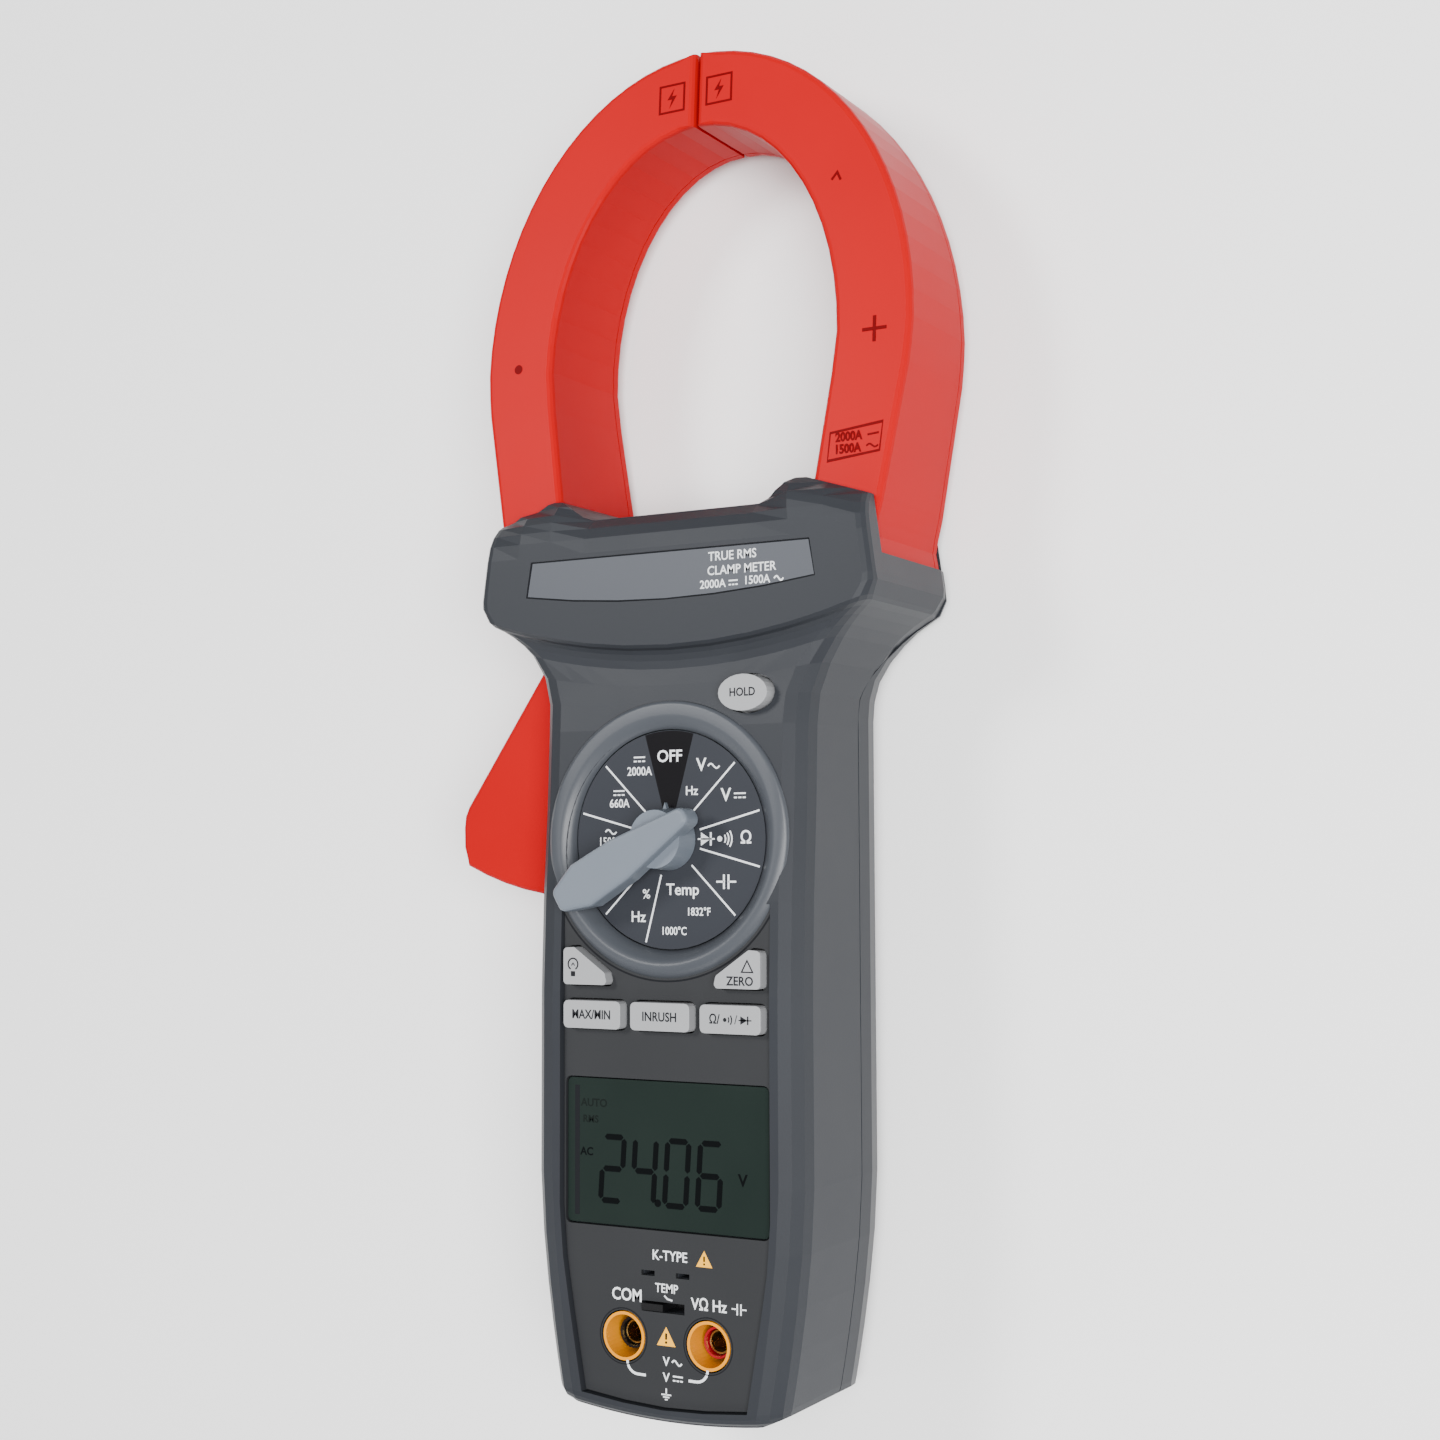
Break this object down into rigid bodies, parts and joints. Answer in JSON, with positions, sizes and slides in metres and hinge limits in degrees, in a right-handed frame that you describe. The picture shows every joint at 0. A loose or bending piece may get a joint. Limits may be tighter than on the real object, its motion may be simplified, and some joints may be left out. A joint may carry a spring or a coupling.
{
  "type": "clamp meter",
  "caption": "Hand-held clamp meter: two sprung jaws opened by a side trigger, rotary selector, keys, display window and test-lead jacks in a moulded grip.",
  "frame": {"origin": "on the flat rear face, on the plane of symmetry, level with the selector's axis", "axes": "+X to the right of somebody facing the display, +Y towards the jaws, +Z out of the display; the meter lies on its back"},
  "size_m": [0.1074, 0.2746, 0.0468],
  "materials": {
    "housing_grey": "satin moulded plastic",
    "panel_grey": "printed film",
    "jaw_red": "smooth moulded plastic",
    "key_grey": "soft satin",
    "knob_grey": "satin moulded plastic",
    "dial_grey": "printed film",
    "display": "clear window over a grey-green display",
    "yellow": "satin moulded plastic",
    "black": "satin",
    "red_insulator": "satin",
    "steel": "plain",
    "brass": "plain",
    "board": "solder mask",
    "rubber": "moulded",
    "white": "satin",
    "battery_steel": "printed sleeve"
  },
  "bodies": {
    "housing": {"front_shell": "housing_grey", "rear_shell": "housing_grey", "front_panel": "panel_grey", "head_label": "housing_grey", "battery_cover": "housing_grey", "battery_cover_screw": "steel", "case_screw_1": "steel", "case_screw_2": "steel", "case_screw_3": "steel", "case_screw_4": "steel", "left_jaw_pin": "steel", "right_jaw_pin": "steel", "dial_plate": "dial_grey", "keypad_mat": "rubber", "lcd_window": "display", "lcd_glass": "display", "lcd_backlight": "white", "lcd_frame": "black", "zebra_strip_lower": "rubber", "zebra_strip_upper": "rubber", "main_board": "board", "jack_board": "board", "buzzer": "black", "com_jack_sleeve": "yellow", "com_jack_insulator": "black", "com_jack_contact": "brass", "volt_jack_sleeve": "yellow", "volt_jack_insulator": "red_insulator", "volt_jack_contact": "brass", "thermocouple_contact_left": "brass", "thermocouple_contact_right": "brass", "battery": "battery_steel", "battery_terminal_block": "black", "jaw_spring": "steel"},
    "left_jaw": {"left_jaw_cover": "jaw_red", "left_jaw_back": "jaw_red", "left_jaw_core": "steel", "left_jaw_hall_sensor": "black", "trigger": "jaw_red", "trigger_pin": "steel"},
    "right_jaw": {"right_jaw_cover": "jaw_red", "right_jaw_back": "jaw_red", "right_jaw_core": "steel", "right_jaw_hall_sensor": "black"},
    "selector": {"selector_knob": "knob_grey", "selector_rotor": "white"},
    "lamp_button_body": {"lamp_button": "key_grey"},
    "zero_button_body": {"zero_button": "key_grey"},
    "max_min_button_body": {"max_min_button": "key_grey"},
    "inrush_button_body": {"inrush_button": "key_grey"},
    "function_button_body": {"function_button": "key_grey"},
    "hold_button_body": {"hold_button": "key_grey"},
    "shutter": {"jack_shutter": "black"}
  },
  "joints": [
    {"name": "left_jaw_hinge", "type": "hinge", "parent": "housing", "child": "left_jaw", "pos_m": [-0.028, 0.053, 0], "axis": [0, 0, 1], "range_deg": [0, 15], "stiffness_Nm_per_rad": 3, "springref_deg": -18.91},
    {"name": "right_jaw_hinge", "type": "hinge", "parent": "housing", "child": "right_jaw", "pos_m": [0.028, 0.053, 0], "axis": [0, 0, 1], "range_deg": [-15, 0]},
    {"name": "selector_turn", "type": "hinge", "parent": "housing", "child": "selector", "pos_m": [0, 0, 0.04], "axis": [0, 0, 1], "range_deg": [-90, 240]},
    {"name": "lamp_button_press", "type": "slide", "parent": "housing", "child": "lamp_button_body", "axis": [0, 0, 1], "range_m": [-0.0008, 0], "stiffness_N_per_m": 1500, "springref_m": 0.0003},
    {"name": "zero_button_press", "type": "slide", "parent": "housing", "child": "zero_button_body", "axis": [0, 0, 1], "range_m": [-0.0008, 0], "stiffness_N_per_m": 1500, "springref_m": 0.0003},
    {"name": "max_min_button_press", "type": "slide", "parent": "housing", "child": "max_min_button_body", "axis": [0, 0, 1], "range_m": [-0.0008, 0], "stiffness_N_per_m": 1500, "springref_m": 0.0003},
    {"name": "inrush_button_press", "type": "slide", "parent": "housing", "child": "inrush_button_body", "axis": [0, 0, 1], "range_m": [-0.0008, 0], "stiffness_N_per_m": 1500, "springref_m": 0.0003},
    {"name": "function_button_press", "type": "slide", "parent": "housing", "child": "function_button_body", "axis": [0, 0, 1], "range_m": [-0.0008, 0], "stiffness_N_per_m": 1500, "springref_m": 0.0003},
    {"name": "hold_button_press", "type": "slide", "parent": "housing", "child": "hold_button_body", "axis": [0, 0, 1], "range_m": [-0.0008, 0], "stiffness_N_per_m": 1500, "springref_m": 0.0003},
    {"name": "jack_shutter_slide", "type": "slide", "parent": "housing", "child": "shutter", "axis": [1, 0, 0], "range_m": [0, 0.004]}
  ],
  "couplings": [
    {"joint": "right_jaw_hinge", "follows": "left_jaw_hinge", "ratio": -1}
  ]
}
